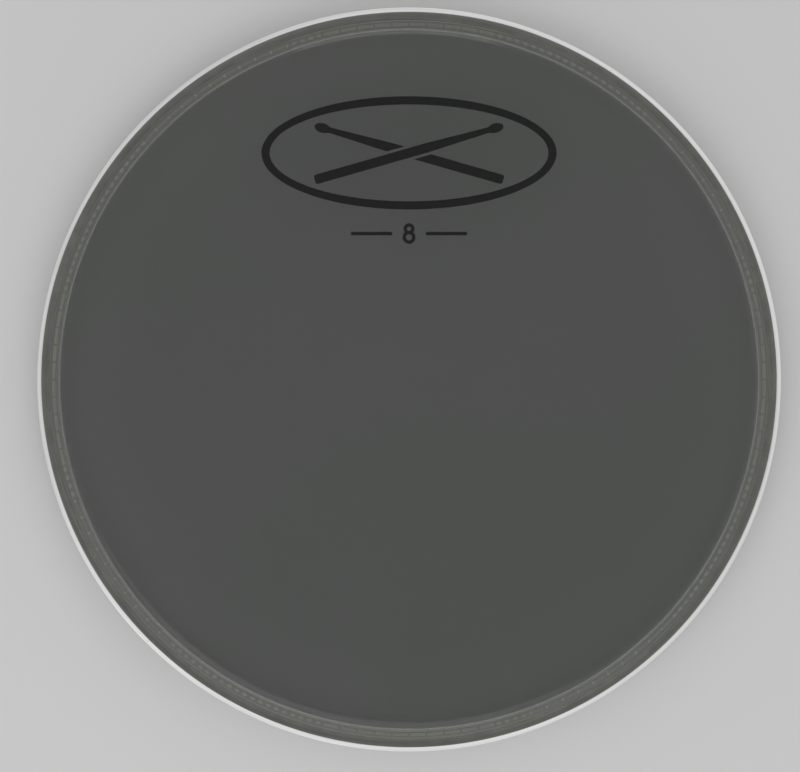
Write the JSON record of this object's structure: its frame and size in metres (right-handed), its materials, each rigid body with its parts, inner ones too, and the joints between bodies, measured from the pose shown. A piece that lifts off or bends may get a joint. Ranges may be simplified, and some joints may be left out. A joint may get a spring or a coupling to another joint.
{
  "type": "drum head",
  "caption": "Round drum head: a clear film with a formed collar, held by cast resin in an aluminium channel hoop that drops over a small drum shell.",
  "frame": {"origin": "centre of the hoop's underside, on the head's axis", "axes": "+Z along the head's axis, out of the playing face; +Y towards the printed mark"},
  "size_m": [0.2175, 0.2174, 0.0154],
  "materials": {
    "hoop_aluminium": "satin",
    "splice_aluminium": "satin",
    "clear_film": "gloss",
    "cast_resin": "satin",
    "print_ink": "matte"
  },
  "bodies": {
    "root": {"channel_hoop": "hoop_aluminium", "hoop_splice": "splice_aluminium", "head_film": "clear_film", "locking_resin": "cast_resin", "printed_mark": "print_ink"}
  },
  "joints": []
}
